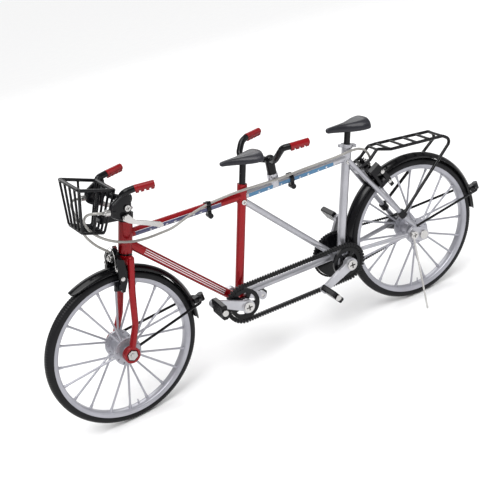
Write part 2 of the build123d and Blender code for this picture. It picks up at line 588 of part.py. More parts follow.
# ---------------------------------------------------------------- brakes
def caliper(o, fwd, up, layer, s, low, shoe):
    """one arm: o is the pivot on the wheel's centre plane, fwd along the bolt, up away from the axle;
    low holds the blocks that widen the arm below, shoe the pad's reach along the rim"""
    o = V(o)

    def P(y, h, q):
        return o + Vector(0, s * y, 0) + up * h + fwd * q

    def pl(pts, q0, q1):
        f = make_face(Polyline(*[tuple(P(y, h, q0)) for y, h in pts], close=True))
        return extrude(f, q1 - q0, dir=tuple(fwd))
    q0, q1 = layer
    body = rod(P(0, 0, q0), P(0, 0, q1), 2.0)
    body = fuse(body,
                pl([(-1.2, 1.2), (-2.6, 4.2), (-1.2, 4.8), (1.6, 1.6), (4.2, 0.6), (6.0, -1.6), (6.6, -5.0), (6.2, -9.6), (4.9, -12.6),
                    (4.9, -9.0), (4.3, -5.0), (3.6, -2.6), (1.6, -1.6)], q0, q1))
    for pts, a, b in low:
        body = body + pl(pts, a, b)
    # shoe with its pad, along the rim
    a, b = shoe
    body = body + pl([(4.0, -9.8), (6.4, -9.8), (6.4, -11.6), (4.0, -11.6)], a + 1.0, b - 1.0)
    body = body + pl([(2.95, -9.6), (4.2, -9.6), (4.2, -13.4), (2.95, -13.4)], a, b)
    body = body - rod(P(0, 0, -6), P(0, 0, 12), 0.8 + RUN)
    return sorted(body.solids(), key=lambda k: -k.volume)[0]


FO = BF + PF * 3.4
RO = RAXLE + BN * 44.6
LOW_F = []
SIDE_F = [(0.2, 0.6), (2.6, 1.2), (3.2, -1.0), (2.6, -5.0), (1.5, -9.5), (0.7, -13.4), (-0.6, -13.4), (-1.4, -9.5), (-1.3, -5.0)]
LOW_R = [([(4.95, -0.2), (6.3, -1.4), (6.8, -4.4), (4.95, -4.4)], 0.3, 6.0),
         ([(4.95, -2.4), (6.6, -3.4), (6.8, -7.4), (6.4, -11.4), (6.0, -15.4), (5.0, -15.4), (4.9, -11.4)], 4.2, 6.0)]
for side, lay, s in (("left", (0.2, 1.5), 1), ("right", (1.6, 2.9), -1)):
    # slanted outer blade, top forward and tip back
    f = make_face(Polyline(*[tuple(FO + Vector(0, s * 4.5, 0) + AX * h + PF * q) for q, h in SIDE_F], close=True))
    blade = extrude(f, 2.0, dir=(0, s, 0))
    a = caliper(FO, PF, AX, lay, s, LOW_F, (-1.7, 3.0)) + blade
    a = a - rod(FO - PF * 6, FO + PF * 12, 0.8 + RUN)
    parts["front_brake_arm_" + side] = sorted(a.solids(), key=lambda k: -k.volume)[0]
parts["rear_brake_arm_left"] = caliper(RO, BT, BN, (0.3, 1.6), 1, LOW_R, (0.4, 7.0))
parts["rear_brake_arm_right"] = caliper(RO, BT, BN, (1.7, 3.0), -1, LOW_R, (0.4, 7.0))
fb = fuse(bolt_f, rod(BF + PF * 6.35, BF + PF * 7.2, 1.5))
fb = fb - bar(BF + PF * 7.2 - YY * 1.0, BF + PF * 7.2 + YY * 1.0, 0.5, 0.5, PF)
rb = fuse(bolt_r, rod(RO + BT * 3.15, RO + BT * 4.6, 2.1))
parts["lever_fittings"] = Compound(pins + [fb.solid()] + ferr)
rb = rb - bar(RO + BT * 4.6 - YY * 1.4, RO + BT * 4.6 + YY * 1.4, 0.5, 0.5, BT)

# screws on the frame: lug, seat cluster, bottom bracket, stand pivot
def small_screw(x, z, y, r, h, shank, s=1, rs=0.4):
    k = fuse(cross_screw((x, y, z), (0, s, 0), r, h, h * 0.5), ycyl(x, z, y - s * shank, y + s * h * 0.3, rs))
    return sorted(k.solids(), key=lambda q: -q.volume)[0]


sc = [small_screw(on_f(79.2).X, 79.2, 2.15, 1.1, 0.6, 0.55),
      small_screw(on_r(79.9).X + 0.2, 79.9, 2.2, 1.0, 0.6, 0.55),
      small_screw(-38.3, 38.7, 3.9, 0.95, 0.5, 1.2),
      small_screw(STP.X, STP.Z, 11.7, 1.85, 0.8, 3.8, 1, 0.7)]
parts["front_frame"] = parts["front_frame"] - sc[0]
parts["rear_frame"] = parts["rear_frame"] - sc[1] - sc[2] - sc[3] - parts["rear_axle"]
parts["rear_frame"] = sorted(parts["rear_frame"].solids(), key=lambda s: -s.volume)[0]
parts["front_frame"] = sorted(parts["front_frame"].solids(), key=lambda s: -s.volume)[0]
parts["frame_screws"] = Compound(sc + [rb.solid()])

# ---------------------------------------------------------------- rack
rk = []
LEG0 = RO + BN * 2.0 + BT * 4.6     # foot of the front legs, behind the brake arms
RF, RRR = (-66.7, 6.2, 80.1), (-96.0, 5.6, 76.9)
for s in (1, -1):
    f = (lambda p: p) if s > 0 else my
    # rail, bent down at the back into the leg, to the clamp on the seat stay
    leg_end = on_stay(0.74, 1)
    rail = [(LEG0.X, 3.7, LEG0.Z), (-60.9, 3.6, 81.4), RF, RRR, (-100.4, 5.7, 73.8), (leg_end.X - 0.9, leg_end.Y + 1.0, leg_end.Z + 0.6)]
    pts = [f(p) for p in rail]
    tb, _ = tube(pts, 0.75, [1.6, 3.0, 2.6, 2.2])
    rk.append(tb)
    le = on_stay(0.74, s)
    dirs = (on_stay(1, s) - on_stay(0, s)).normalized()
    rk.append(rod(le - dirs * 1.6, le + dirs * 1.6, 1.9))
    rk.append(bar(LEG0 + BT * 0.3 + Vector(0, s * 3.7, 0), RO + BN * 3.2 - BT * 1.8 + Vector(0, s * 3.3, 0), 1.0, 1.2, BN))
for x in (-66.7, -74.0, -81.3, -88.6, -95.9):
    t = (x - RF[0]) / (RRR[0] - RF[0])
    p = mix(RF, RRR, t)
    rk.append(rod(p, my(p), 0.6))
rk.append(rod((-60.9, 3.6, 81.2), (-60.9, -3.6, 81.2), 0.6))
rack = fuse(*rk)
rack = rack - parts["rear_frame"]
for s in (1, -1):
    rack = rack - rod(on_stay(0.4, s), on_stay(0.95, s), 1.15)
rs = sorted(rack.solids(), key=lambda s: -s.volume)
print("rack solids", [round(s.volume, 2) for s in rs])
parts["rack"] = rs[0]

# ---------------------------------------------------------------- cables
# turned with the steering: from the right-hand ferrule through the basket to the front brake
fbc = [(72.64, -11.9, 100.74), (75.4, -11.0, 101.5), (77.5, -8.2, 101.0), (78.4, -4.7, 98.2), (78.5, -1.9, 93.6), (77.6, -1.6, 88.6), (74.6, -1.2, 83.4), (69.9, -0.8, 78.6)]
parts["front_brake_cable"] = cable("front brake cable", fbc, CABLE_R)


def turn_pt(p, origin, axis, deg):
    p, o, k = V(p), V(origin), V(axis).normalized()
    a = math.radians(deg)
    v = p - o
    return o + v * math.cos(a) + k.cross(v) * math.sin(a) + k * (k.dot(v) * (1 - math.cos(a)))


# loop from the left-hand ferrule, through the basket, back past the head tube (free),
# and the run clipped along the top tubes to the rear brake
loop_pts = [(72.64, 11.9, 100.74), (75.4, 11.0, 101.6), (77.8, 8.4, 101.2), (79.0, 5.9, 98.4), (78.0, 4.9, 94.4), (75.6, 4.7, 90.4), (71.6, 4.8, 86.6)]
loop_pts = [turn_pt(p, A0, AX, STEER_REST) for p in loop_pts] + [Vector(66.4, 5.6, 83.6), Vector(60.6, 5.9, 81.6), Vector(54.2, 5.6, 80.7), Vector(48.0, 5.0, 80.6)]
parts["rear_brake_cable_loop"] = cable("rear brake cable, free loop", loop_pts, CABLE_R)
d0 = (loop_pts[-1] - loop_pts[-2]).normalized()
run_pts = [loop_pts[-1], loop_pts[-1] + d0 * 5.5, Vector(34.4, 3.2, 82.6), Vector(24.6, 2.3, 84.3), Vector(14.5, 2.6, 85.0), Vector(6.2, 3.5, 85.2),
           Vector(-3.5, 3.5, 84.7), Vector(-12.6, 3.3, 84.2), Vector(-21.5, 2.3, 84.2), Vector(-32.0, 2.4, 84.2), Vector(-40.5, 3.3, 84.6),
           Vector(-46.6, 4.0, 85.3), Vector(-51.4, 3.6, 84.9), Vector(-55.0, 2.7, 82.9), Vector(-57.2, 1.9, 79.8), Vector(-58.1, 1.4, 76.9)]
parts["rear_brake_cable"] = cable("rear brake cable, clipped run", run_pts, CABLE_R)

# clips: a band round the top tube and the cable, with a screw boss below
cl = []
for x, tz, cy, cz in ((23.9, 82.2, 2.3, 84.4), (-17.0, 81.6, 2.8, 84.2)):
    band = fuse(rod((x - 0.9, 0, tz), (x + 0.9, 0, tz), 2.5), rod((x - 0.9, cy, cz), (x + 0.9, cy, cz), 1.05),
                bar((x - 0.9, 0.6, tz - 2.2), (x + 0.9, 0.6, tz - 2.2), 2.4, 2.4, (0, 0, 1)), ycyl(x, tz - 3.6, -0.9, 2.4, 1.2))
    band = band - parts["front_frame"] - parts["rear_frame"] - rod((x - 3, 0, tz), (x + 3, 0, tz), 1.88) - parts["rear_brake_cable"]
    cl.append(sorted(band.solids(), key=lambda s: -s.volume)[0])
parts["cable_clips"] = Compound(cl)

# ---------------------------------------------------------------- rest pose
STEERING = ["fork", "headset_rings", "front_handlebar", "front_grips", "brake_lever_housings", "lever_fittings",
            "left_brake_lever", "right_brake_lever", "basket", "basket_arm", "front_mudguard",
            "front_mudguard_stays", "front_axle", "front_rim", "front_tyre", "front_hub",
            "front_spokes", "front_brake_arm_left", "front_brake_arm_right", "front_brake_cable"]
for n in STEERING:
    parts[n] = parts[n].rotate(Axis(tuple(A0), tuple(AX)), STEER_REST)
for n in ("rear_handlebar", "rear_grips"):
    parts[n] = parts[n].rotate(Axis((STEM.X, 0, 0), (0, 0, 1)), BARS_REST)

# lean onto the kickstand, then put the box's bottom centre at the origin
lean = Axis((0, 0, 0), (1, 0, 0))
for n in parts:
    parts[n] = parts[n].rotate(lean, -LEAN_DEG)
lo, hi = [1e9] * 3, [-1e9] * 3
for n, s in parts.items():
    b = s.bounding_box()
    lo = [min(a, c) for a, c in zip(lo, (b.min.X, b.min.Y, b.min.Z))]
    hi = [max(a, c) for a, c in zip(hi, (b.max.X, b.max.Y, b.max.Z))]
SHIFT = (-(lo[0] + hi[0]) / 2, -(lo[1] + hi[1]) / 2, -lo[2])
print("box", [round(v, 3) for v in lo], [round(v, 3) for v in hi], "shift", [round(v, 4) for v in SHIFT])
for n in ("front_tyre", "rear_tyre", "kickstand"):
    print(n, "lowest", round(parts[n].bounding_box().min.Z - lo[2], 3))
print(len(parts), "nodes")
for n, s in parts.items():
    export_step(s.moved(Location(SHIFT)), "parts/%s.step" % n)
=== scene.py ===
import bpy
import json
import math
from mathutils import Matrix, Vector


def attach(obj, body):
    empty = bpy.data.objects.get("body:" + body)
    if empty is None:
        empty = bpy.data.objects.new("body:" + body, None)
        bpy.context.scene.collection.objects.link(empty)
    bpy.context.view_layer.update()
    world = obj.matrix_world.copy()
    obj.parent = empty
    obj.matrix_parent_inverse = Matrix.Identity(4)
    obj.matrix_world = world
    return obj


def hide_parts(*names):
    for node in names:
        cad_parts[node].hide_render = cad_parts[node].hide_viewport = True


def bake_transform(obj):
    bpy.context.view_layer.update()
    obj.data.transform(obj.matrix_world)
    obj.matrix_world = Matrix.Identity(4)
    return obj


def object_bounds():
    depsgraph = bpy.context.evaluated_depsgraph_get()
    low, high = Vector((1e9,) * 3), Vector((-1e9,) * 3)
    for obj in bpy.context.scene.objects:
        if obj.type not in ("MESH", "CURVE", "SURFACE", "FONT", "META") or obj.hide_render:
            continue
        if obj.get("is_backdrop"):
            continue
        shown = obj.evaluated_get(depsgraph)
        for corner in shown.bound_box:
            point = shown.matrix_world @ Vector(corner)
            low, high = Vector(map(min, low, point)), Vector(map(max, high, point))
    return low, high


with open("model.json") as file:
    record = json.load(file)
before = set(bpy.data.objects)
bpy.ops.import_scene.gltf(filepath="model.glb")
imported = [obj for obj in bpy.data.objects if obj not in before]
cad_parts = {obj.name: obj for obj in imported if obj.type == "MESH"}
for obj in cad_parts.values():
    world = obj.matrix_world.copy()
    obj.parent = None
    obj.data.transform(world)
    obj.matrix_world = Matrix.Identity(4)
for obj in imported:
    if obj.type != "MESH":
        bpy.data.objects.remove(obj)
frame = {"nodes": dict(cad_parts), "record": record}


def plain(x):
    if isinstance(x, dict):
        return {k: plain(v) for k, v in x.items()}
    if isinstance(x, (Vector, list, tuple)):
        return [plain(v) for v in x]
    return x


size_before = plain(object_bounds())

# ------------------------------------------------------------------ places, in millimetres
# The bicycle is laid out upright (+X forward, +Y left, +Z up, ground at 0), then leaned onto its stand.
ha = math.radians(74.5)
AX = Vector((-math.cos(ha), 0, math.sin(ha)))
PF = Vector((math.sin(ha), 0, math.cos(ha)))
YY = Vector((0, 1, 0))
WHEEL_R = 35.0
FAXLE, RAXLE = Vector((75.5, 0, 35.0)), Vector((-75.5, 0, 35.0))
A0 = FAXLE - PF * 0.7
BB_F, BB_R = Vector((19.0, 0, 35.0)), Vector((-35.0, 0, 34.6))
STEM = Vector((-8.9, 0, 0))
BN = Vector((math.cos(math.radians(60)), 0, math.sin(math.radians(60))))
BT = Vector((-BN.z, 0, BN.x))

M_U = Matrix.Scale(0.001, 4) @ Matrix.Translation((3.6706, -2.4415, 0.0686)) @ Matrix.Rotation(math.radians(-4), 4, "X")
M_S = M_U @ Matrix.Translation(A0) @ Matrix.Rotation(math.radians(6.5), 4, AX) @ Matrix.Translation(-A0)
M_B = M_U @ Matrix.Translation(STEM) @ Matrix.Rotation(math.radians(11), 4, "Z") @ Matrix.Translation(-STEM)


def st(p, y, s):
    return A0 + PF * p + AX * s + Vector((0, y, 0))


def ax_at(z):
    return A0 + AX * ((z - A0.z) / AX.z)


SEAT_F_TOP, SEAT_R_TOP = Vector((5.9, 0, 86.7)), Vector((-47.6, 0, 86.2))
seat_f, seat_r = (SEAT_F_TOP - BB_F).normalized(), (SEAT_R_TOP - BB_R).normalized()


def on_f(z):
    return BB_F + seat_f * ((z - BB_F.z) / seat_f.z)


def on_r(z):
    return BB_R + seat_r * ((z - BB_R.z) / seat_r.z)


BF = st(0, 0, 41.0)
FO = BF + PF * 3.4
RO = RAXLE + BN * 44.6


def V(p):
    return p if isinstance(p, Vector) else Vector(p)


def mix(a, b, t):
    return V(a) + (V(b) - V(a)) * t


def my(p):
    p = V(p)
    return Vector((p.x, -p.y, p.z))


# ------------------------------------------------------------------ materials
def new_mat(name):
    m = bpy.data.materials.new(name)
    m.use_nodes = True
    nt = m.node_tree
    for n in list(nt.nodes):
        nt.nodes.remove(n)
    out = nt.nodes.new("ShaderNodeOutputMaterial")
    b = nt.nodes.new("ShaderNodeBsdfPrincipled")
    nt.links.new(b.outputs["BSDF"], out.inputs["Surface"])
    return m, nt, b


def surface(name, c1, c2, rough=(0.3, 0.4), metallic=0.0, coat=0.0, coat_rough=0.1, spec=0.5, grain=900.0,
            bump=0.05, blotch=60.0, edge_highlight_and_wear=None, bevel=0.00018, fine=None, ribs=None, flake=0.0):
    """paint, metal or moulded plastic: two tones in soft blotches, fine grain in the bump, roughness that varies,
    rounded edges painted lighter, partly as rub wear and partly as a painted highlight along the edge"""
    m, nt, b = new_mat(name)
    N, L = nt.nodes, nt.links
    co = N.new("ShaderNodeTexCoord")
    big = N.new("ShaderNodeTexNoise")
    big.inputs["Scale"].default_value = blotch
    big.inputs["Detail"].default_value = 4
    L.new(co.outputs["Object"], big.inputs["Vector"])
    sm = N.new("ShaderNodeTexNoise")
    sm.inputs["Scale"].default_value = grain
    sm.inputs["Detail"].default_value = 3
    L.new(co.outputs["Object"], sm.inputs["Vector"])
    mixc = N.new("ShaderNodeMix")
    mixc.data_type = "RGBA"
    mixc.inputs[6].default_value = (*c1, 1)
    mixc.inputs[7].default_value = (*c2, 1)
    ramp = N.new("ShaderNodeMapRange")
    ramp.inputs["From Min"].default_value = 0.35
    ramp.inputs["From Max"].default_value = 0.65
    L.new(big.outputs["Fac"], ramp.inputs["Value"])
    L.new(ramp.outputs["Result"], mixc.inputs[0])
    col = mixc.outputs[2]
    if flake:
        fl = N.new("ShaderNodeTexVoronoi")
        fl.inputs["Scale"].default_value = 6500
        L.new(co.outputs["Object"], fl.inputs["Vector"])
        fm = N.new("ShaderNodeMix")
        fm.data_type = "RGBA"
        fm.blend_type = "OVERLAY"
        fm.inputs[0].default_value = flake
        L.new(col, fm.inputs[6])
        L.new(fl.outputs["Color"], fm.inputs[7])
        hs = N.new("ShaderNodeHueSaturation")
        hs.inputs["Saturation"].default_value = 0.0
        L.new(fl.outputs["Color"], hs.inputs["Color"])
        L.new(hs.outputs["Color"], fm.inputs[7])
        col = fm.outputs[2]
    bv = N.new("ShaderNodeBevel")
    bv.samples = 4
    bv.inputs["Radius"].default_value = bevel
    # edges painted lighter where the bevel normal turns away: a painted edge highlight mixed with rub wear, broken up
    # by the fine grain
    if edge_highlight_and_wear:
        geo = N.new("ShaderNodeNewGeometry")
        dot = N.new("ShaderNodeVectorMath")
        dot.operation = "DOT_PRODUCT"
        L.new(bv.outputs["Normal"], dot.inputs[0])
        L.new(geo.outputs["Normal"], dot.inputs[1])
        er = N.new("ShaderNodeMapRange")
        er.inputs["From Min"].default_value = 0.985
        er.inputs["From Max"].default_value = 0.86
        er.inputs["To Max"].default_value = edge_highlight_and_wear[1]
        L.new(dot.outputs["Value"], er.inputs["Value"])
        ex = N.new("ShaderNodeMath")
        ex.operation = "MULTIPLY"
        L.new(er.outputs["Result"], ex.inputs[0])
        L.new(sm.outputs["Fac"], ex.inputs[1])
        em = N.new("ShaderNodeMix")
        em.data_type = "RGBA"
        L.new(ex.outputs["Value"], em.inputs[0])
        L.new(col, em.inputs[6])
        em.inputs[7].default_value = (*edge_highlight_and_wear[0], 1)
        col = em.outputs[2]
    L.new(col, b.inputs["Base Color"])
    rr = N.new("ShaderNodeMapRange")
    rr.inputs["From Min"].default_value = 0.3
    rr.inputs["From Max"].default_value = 0.7
    rr.inputs["To Min"].default_value = rough[0]
    rr.inputs["To Max"].default_value = rough[1]
    L.new(big.outputs["Fac"], rr.inputs["Value"])
    L.new(rr.outputs["Result"], b.inputs["Roughness"])
    bp = N.new("ShaderNodeBump")
    bp.inputs["Strength"].default_value = bump
    bp.inputs["Distance"].default_value = 0.0002
    L.new(bv.outputs["Normal"], bp.inputs["Normal"])
    h = sm.outputs["Fac"]
    if fine:
        v = N.new("ShaderNodeTexVoronoi")
        v.inputs["Scale"].default_value = fine
        L.new(co.outputs["Object"], v.inputs["Vector"])
        add = N.new("ShaderNodeMath")
        L.new(h, add.inputs[0])
        L.new(v.outputs["Distance"], add.inputs[1])
        h = add.outputs["Value"]
    L.new(h, bp.inputs["Height"])
    L.new(bp.outputs["Normal"], b.inputs["Normal"])
    b.inputs["Metallic"].default_value = metallic
    b.inputs["Coat Weight"].default_value = coat
    b.inputs["Coat Roughness"].default_value = coat_rough
    b.inputs["Specular IOR Level"].default_value = spec
    return m


# the lighter edge colour given to each surface below is a painted edge highlight mixed with wear
RED = surface("red_paint", (0.27, 0.0012, 0.005), (0.215, 0.001, 0.004), (0.2, 0.28), 0.35, 0.3, 0.04, spec=0.22, grain=1500, bump=0.03,
              edge_highlight_and_wear=((0.55, 0.02, 0.025), 0.5), flake=0.06, bevel=0.0003)
SILVER = surface("silver_paint", (0.42, 0.42, 0.45), (0.34, 0.34, 0.37), (0.28, 0.38), 0.75, 0.4, 0.12, grain=1500, bump=0.04,
                 edge_highlight_and_wear=((0.75, 0.76, 0.78), 0.6), flake=0.12, bevel=0.0003)
NICKEL = surface("nickel", (0.6, 0.59, 0.58), (0.46, 0.45, 0.44), (0.16, 0.3), 1.0, grain=1200, bump=0.05, edge_highlight_and_wear=((0.9, 0.89, 0.86), 0.7), bevel=0.00012)
CRANK = surface("crank_grey", (0.5, 0.5, 0.53), (0.42, 0.42, 0.45), (0.3, 0.42), 0.7, 0.1, grain=1000, bump=0.08, edge_highlight_and_wear=((0.75, 0.75, 0.78), 0.6))
BLACK = surface("black_plastic", (0.002, 0.002, 0.0026), (0.0042, 0.0042, 0.0055), (0.13, 0.24), 0.0, 0.06, 0.05, spec=0.2, grain=700, bump=0.06,
                edge_highlight_and_wear=((0.06, 0.06, 0.065), 0.7), bevel=0.00022)
RUBBER = surface("black_rubber", (0.005, 0.005, 0.006), (0.01, 0.01, 0.011), (0.34, 0.48), spec=0.18, grain=900, bump=0.15, edge_highlight_and_wear=((0.06, 0.06, 0.06), 0.6))
TYRE = surface("tyre_rubber", (0.0035, 0.0035, 0.0045), (0.008, 0.008, 0.0095), (0.32, 0.46), spec=0.18, grain=1100, bump=0.18, edge_highlight_and_wear=((0.05, 0.05, 0.05), 0.6), bevel=0.00008)
WHEEL = surface("wheel_plastic", (0.38, 0.38, 0.42), (0.3, 0.3, 0.335), (0.28, 0.4), 0.45, 0.3, 0.15, grain=1200, bump=0.05,
                edge_highlight_and_wear=((0.7, 0.7, 0.74), 0.6), flake=0.08, bevel=0.0002)
GRIP = surface("red_satin", (0.25, 0.0016, 0.005), (0.2, 0.0012, 0.004), (0.22, 0.34), 0.0, 0.12, spec=0.25, grain=800, bump=0.1, edge_highlight_and_wear=((0.5, 0.02, 0.02), 0.5), bevel=0.0003)
SADDLE = surface("saddle_plastic", (0.01, 0.01, 0.014), (0.018, 0.018, 0.025), (0.26, 0.38), 0.0, 0.12, spec=0.32, grain=1400, bump=0.22, fine=2600,
                 edge_highlight_and_wear=((0.08, 0.08, 0.09), 0.5))
CABLE = surface("cable_grey", (0.34, 0.33, 0.31), (0.26, 0.25, 0.235), (0.25, 0.36), 0.35, 0.3, grain=700, bump=0.08, edge_highlight_and_wear=None)
NAVY = surface("decal_navy", (0.04, 0.045, 0.14), (0.032, 0.035, 0.11), (0.25, 0.35), 0.1, 0.6, 0.08, grain=900, bump=0.03)
SKY = surface("decal_blue", (0.05, 0.18, 0.34), (0.042, 0.15, 0.295), (0.25, 0.35), 0.1, 0.35, 0.08, grain=900, bump=0.03)
WHITE = surface("decal_white", (0.78, 0.78, 0.8), (0.7, 0.7, 0.72), (0.25, 0.35), 0.0, 0.5, 0.08, grain=900, bump=0.03)

SLOT_MAT = {"red_paint": RED, "silver_paint": SILVER, "nickel": NICKEL, "crank_grey": CRANK, "black_plastic": BLACK,
            "black_rubber": RUBBER, "tyre": TYRE, "wheel_plastic": WHEEL, "red_satin": GRIP, "saddle_plastic": SADDLE, "cable": CABLE}
for sp in frame["record"]["subparts"]:
    o = frame["nodes"].get(sp["node"])
    if o is not None:
        o.data.materials.clear()
        o.data.materials.append(SLOT_MAT[sp["material_slot"]])
        for p in o.data.polygons:
            p.material_index = 0


# ------------------------------------------------------------------ mesh building
class Piece:
    def __init__(self):
        self.v, self.f = [], []

    def add(self, verts, faces):
        n = len(self.v)
        self.v += [V(p) for p in verts]
        self.f += [[i + n for i in f] for f in faces]
        return self

    def rings(self, rings, closed=False, cap=True):
        """joins loops of points, each the same length"""
        k = len(rings[0])
        verts = [p for r in rings for p in r]
        faces = []
        m = len(rings)
        for i in range(m if closed else m - 1):
            j = (i + 1) % m
            for a in range(k):
                b = (a + 1) % k
                faces.append([i * k + a, i * k + b, j * k + b, j * k + a])
        if cap and not closed:
            faces.append(list(range(k))[::-1])
            faces.append([(m - 1) * k + a for a in range(k)])
        return self.add(verts, faces)

    def lathe(self, c, axis, ref, prof, n=48, a0=0.0, a1=360.0):
        """profile of (radius, along) about an axis; closed loop of points when it goes right round"""
        c, axis, ref = V(c), V(axis).normalized(), V(ref).normalized()
        up = axis.cross(ref)
        full = a1 - a0 >= 360
        m = n if full else n + 1
        rings = []
        for i in range(m):
            t = math.radians(a0 + (a1 - a0) * i / n)
            d = ref * math.cos(t) + up * math.sin(t)
            rings.append([c + d * r + axis * y for r, y in prof])
        return self.rings(rings, closed=full)

    def turned(self, c, axis, prof, n=32):
        """solid of revolution from the axis out: profile of (radius, along) whose ends are near the axis"""
        c, axis = V(c), V(axis).normalized()
        ref = Vector((1, 0, 0)) if abs(axis.x) < 0.8 else Vector((0, 0, 1))
        e1 = axis.cross(ref).normalized()
        e2 = axis.cross(e1)
        rings = []
        for r, y in prof:
            rings.append([c + axis * y + (e1 * math.cos(2 * math.pi * i / n) + e2 * math.sin(2 * math.pi * i / n)) * max(r, 1e-3) for i in range(n)])
        return self.rings(rings)

    def sweep(self, pts, rad, n=16, sect=None, round_ends=True, up=None):
        """tube along points; rad is a number or a list; sect is an optional cross-section of (across, up) factors"""
        pts = [V(p) for p in pts]
        rads = rad if isinstance(rad, list) else [rad] * len(pts)
        tang = []
        for i in range(len(pts)):
            a, b = pts[max(i - 1, 0)], pts[min(i + 1, len(pts) - 1)]
            tang.append((b - a).normalized())
        u = V(up) if up is not None else (Vector((0, 0, 1)) if abs(tang[0].z) < 0.9 else Vector((0, 1, 0)))
        side = tang[0].cross(u).normalized()
        rings = []
        if sect is None:
            sect = [(math.cos(2 * math.pi * i / n), math.sin(2 * math.pi * i / n)) for i in range(n)]
        seq = []
        for i, (p, t, r) in enumerate(zip(pts, tang, rads)):
            side = (side - t * side.dot(t)).normalized()
            seq.append((p, t, side.copy(), r))
        if round_ends:
            p, t, s, r = seq[0]
            head = [(p - t * r * 0.0, t, s, r * 0.02)]
            pre = [(p + t * r * (1 - math.cos(a)) * 0.35, t, s, r * math.sin(a)) for a in (0.35, 0.8, 1.2)]
            q, t2, s2, r2 = seq[-1]
            post = [(q - t2 * r2 * (1 - math.cos(a)) * 0.35, t2, s2, r2 * math.sin(a)) for a in (1.2, 0.8, 0.35)]
            first = (p + t * r * 0.35, t, s, r)
            last = (q - t2 * r2 * 0.35, t2, s2, r2)
            seq = head + pre + [first] + seq[1:-1] + [last] + post + [(q, t2, s2, r2 * 0.02)]
        for p, t, s, r in seq:
            w = s.cross(t)
            rings.append([p + s * (a * r) + w * (b * r) for a, b in sect])
        return self.rings(rings)

    def slab(self, outline, o, ex, ey, ez, d0, d1, ch=0.2):
        """flat outline of (u, v) points in the plane ex, ey at o, from d0 to d1 along ez, with softened edges"""
        o, ex, ey, ez = V(o), V(ex), V(ey), V(ez)
        area = sum(a[0] * b[1] - b[0] * a[1] for a, b in zip(outline, outline[1:] + outline[:1]))
        if area < 0:
            outline = outline[::-1]
        k = len(outline)
        ins = []
        for i in range(k):
            a, b, c = outline[i - 1], outline[i], outline[(i + 1) % k]
            d1_ = Vector((b[0] - a[0], b[1] - a[1])).normalized()
            d2_ = Vector((c[0] - b[0], c[1] - b[1])).normalized()
            n = Vector((-(d1_.y + d2_.y), d1_.x + d2_.x))
            n = n.normalized() if n.length > 1e-6 else Vector((-d1_.y, d1_.x))
            ins.append(n)
        s = 1 if d1 > d0 else -1
        rows = []
        for inset, d in ((ch, d0), (ch * 0.3, d0 + s * ch * 0.3), (0, d0 + s * ch), (0, d1 - s * ch), (ch * 0.3, d1 - s * ch * 0.3), (ch, d1)):
            rows.append([o + ex * (p[0] + n.x * inset) + ey * (p[1] + n.y * inset) + ez * d for p, n in zip(outline, ins)])
        return self.rings(rows)

    def bar(self, p, q, w, h, up, ch=0.15):
        p, q, up = V(p), V(q), V(up)
        d = q - p
        s = d.cross(up).normalized()
        u = s.cross(d).normalized()
        c = min(ch, w * 0.3, h * 0.3)
        o = [(-w / 2 + c, -h / 2), (w / 2 - c, -h / 2), (w / 2, -h / 2 + c), (w / 2, h / 2 - c), (w / 2 - c, h / 2), (-w / 2 + c, h / 2), (-w / 2, h / 2 - c), (-w / 2, -h / 2 + c)]
        return self.slab(o, p, s, u, d.normalized(), 0, d.length, c)

    def patch(self, p, q, r, t0, t1, a0, a1, n=10, m=2):
        """skin on a tube from p to q: t along it, angles from the left side upwards"""
        p, q = V(p), V(q)
        d = (q - p).normalized()
        e1 = (YY - d * YY.dot(d)).normalized()
        e2 = e1.cross(d)
        if e2.z < 0:
            e2 = -e2
        verts, faces = [], []
        for j in range(m):
            t = t0 + (t1 - t0) * j / (m - 1)
            for i in range(n + 1):
                a = math.radians(a0 + (a1 - a0) * i / n)
                verts.append(p + (q - p) * t + (e1 * math.cos(a) + e2 * math.sin(a)) * r)
        for j in range(m - 1):
            for i in range(n):
                faces.append([j * (n + 1) + i, j * (n + 1) + i + 1, (j + 1) * (n + 1) + i + 1, (j + 1) * (n + 1) + i])
        return self.add(verts, faces)

    def mark(self, p, q, r, t, a, shape, size, flip=1):
        """a small flat shape of (along, round) points wrapped on the tube; size in mm"""
        p, q = V(p), V(q)
        d = (q - p).normalized()
        e1 = (YY - d * YY.dot(d)).normalized()
        e2 = e1.cross(d)
        if e2.z < 0:
            e2 = -e2
        c = []
        for u, w in [(0, 0)] + list(shape):
            ang = math.radians(a) + w * size / r * flip
            c.append(p + (q - p) * t + d * (u * size) + (e1 * math.cos(ang) + e2 * math.sin(ang)) * r)
        k = len(shape)
        return self.add(c, [[0, i + 1, (i + 1) % k + 1] for i in range(k)])

    def make(self, name, M, mat, body=None, nodes=(), slot=None, smooth=35, sub=0):
        me = bpy.data.meshes.new(name)
        me.from_pydata([tuple(M @ p) for p in self.v], [], self.f)
        me.validate()
        import bmesh
        bm = bmesh.new()
        bm.from_mesh(me)
        bmesh.ops.recalc_face_normals(bm, faces=bm.faces)
        bm.to_mesh(me)
        bm.free()
        me.shade_smooth()
        if smooth:
            me.set_sharp_from_angle(angle=math.radians(smooth))
        o = bpy.data.objects.new(name, me)
        bpy.context.scene.collection.objects.link(o)
        me.materials.append(mat)
        if sub:
            md = o.modifiers.new("sub", "SUBSURF")
            md.levels = md.render_levels = sub
        if body:
            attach(o, body)
        if nodes:
            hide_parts(*nodes)
        return o


